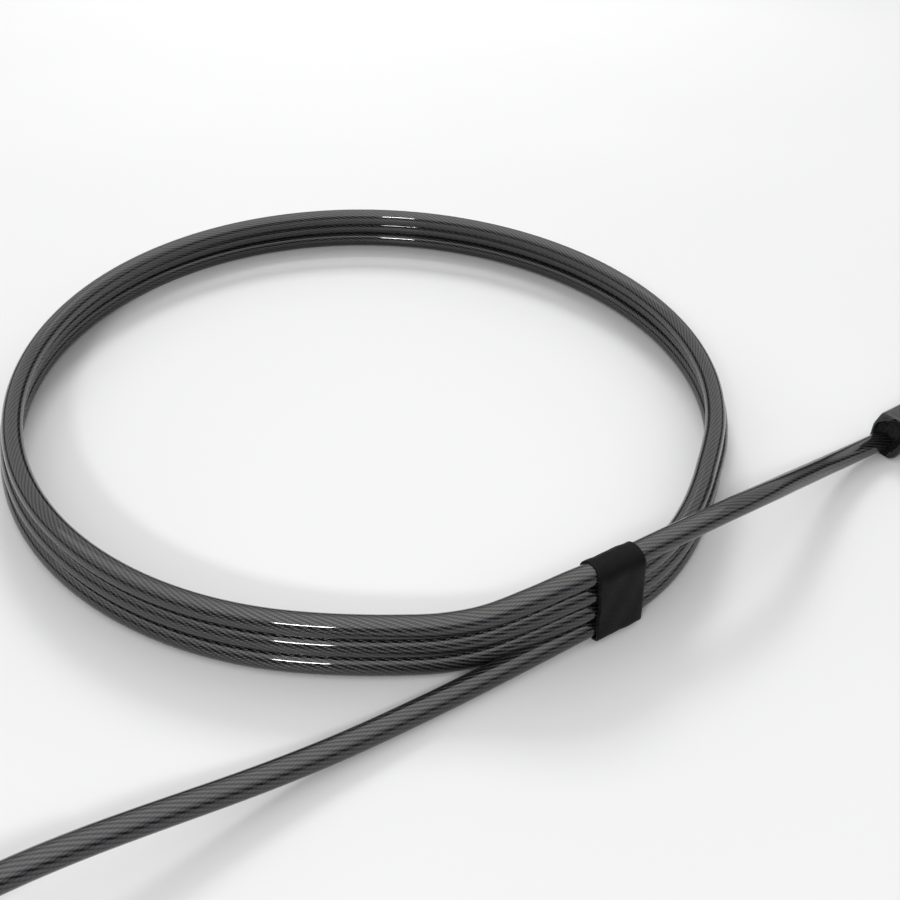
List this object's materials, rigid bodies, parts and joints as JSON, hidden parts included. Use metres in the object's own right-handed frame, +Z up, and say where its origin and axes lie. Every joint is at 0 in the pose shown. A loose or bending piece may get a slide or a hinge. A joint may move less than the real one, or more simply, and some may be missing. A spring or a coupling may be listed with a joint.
{
  "type": "laptop cable lock",
  "caption": "Laptop security lock: dial head with T-bar nose and push button on a swivel collar, coiled jacketed steel cable with tie strap and sleeved loop end.",
  "frame": {"origin": "on the resting surface, under the middle of the lock head's box (the head without the cable and the pieces on it)", "axes": "+X the way the cable leaves the head towards the coil, -Y the way the nose points, +Z up from the surface"},
  "size_m": [0.3715, 0.2383, 0.022],
  "materials": {
    "shell_metal": "satin black coating on die-cast zinc",
    "dial_metal": "black anodised, pale filled digits",
    "brass": "machined",
    "steel": "turned and polished",
    "zinc": "satin nickel on die-cast zinc",
    "spring_steel": "bright drawn",
    "rubber": "matt moulded",
    "black_plastic": "glossy moulded",
    "aluminium": "crimped",
    "cable_jacket": "smoke-tinted clear vinyl over steel rope",
    "webbing": "woven hook-and-loop tape"
  },
  "bodies": {
    "cable": {"cable_coil": "cable_jacket", "cable_lead": "cable_jacket", "cable_tail": "cable_jacket", "cable_loop": "cable_jacket", "loop_sleeve": "black_plastic", "loop_crimp": "aluminium", "tie_strap": "webbing", "cable_end_fitting": "zinc", "cable_boot": "rubber"},
    "collar": {"swivel_collar": "zinc", "hinge_pin": "steel"},
    "head": {"nose_housing": "shell_metal", "nose_pad": "rubber", "nose_plate": "steel", "anti_rotation_pin_1": "steel", "anti_rotation_pin_2": "steel", "core_tube": "brass", "detent_leaf": "spring_steel", "core_clip": "spring_steel", "rear_housing": "shell_metal", "collar_retaining_ring": "spring_steel", "button_retainer": "black_plastic", "return_spring": "spring_steel"},
    "dial_1": {"dial_1": "dial_metal", "code_hub_1": "brass"},
    "dial_2": {"dial_2": "dial_metal", "code_hub_2": "brass"},
    "dial_3": {"dial_3": "dial_metal", "code_hub_3": "brass"},
    "dial_4": {"dial_4": "dial_metal", "code_hub_4": "brass"},
    "button": {"push_button": "black_plastic", "spindle": "steel", "cam_pin": "steel"},
    "t_bar": {"t_bar": "steel"},
    "reset": {"reset_screw": "steel"}
  },
  "joints": [
    {"name": "cable_hinge", "type": "hinge", "parent": "cable", "child": "collar", "pos_m": [0.0124, 0.01315, 0.011], "axis": [0, 0, 1], "range_deg": [-90, 90]},
    {"name": "head_swivel", "type": "hinge", "parent": "collar", "child": "head", "pos_m": [-0.0046, 0, 0.011], "axis": [0, 1, 0], "continuous": true},
    {"name": "dial_1_turn", "type": "hinge", "parent": "head", "child": "dial_1", "pos_m": [-0.0046, 0, 0.011], "axis": [0, 1, 0], "continuous": true},
    {"name": "dial_2_turn", "type": "hinge", "parent": "head", "child": "dial_2", "pos_m": [-0.0046, 0, 0.011], "axis": [0, 1, 0], "continuous": true},
    {"name": "dial_3_turn", "type": "hinge", "parent": "head", "child": "dial_3", "pos_m": [-0.0046, 0, 0.011], "axis": [0, 1, 0], "continuous": true},
    {"name": "dial_4_turn", "type": "hinge", "parent": "head", "child": "dial_4", "pos_m": [-0.0046, 0, 0.011], "axis": [0, 1, 0], "continuous": true},
    {"name": "button_press", "type": "slide", "parent": "head", "child": "button", "axis": [0, -1, 0], "range_m": [0, 0.0038], "stiffness_N_per_m": 600, "springref_m": -0.002, "deforming": ["return_spring"]},
    {"name": "t_bar_turn", "type": "hinge", "parent": "head", "child": "t_bar", "pos_m": [-0.0046, 0, 0.011], "axis": [0, -1, 0], "range_deg": [0, 90]},
    {"name": "reset_turn", "type": "hinge", "parent": "button", "child": "reset", "pos_m": [-0.0046, 0, 0.011], "axis": [0, 1, 0], "range_deg": [0, 90]}
  ],
  "couplings": [
    {"joint": "t_bar_turn", "follows": "button_press", "rad_per_m": 413.3}
  ]
}
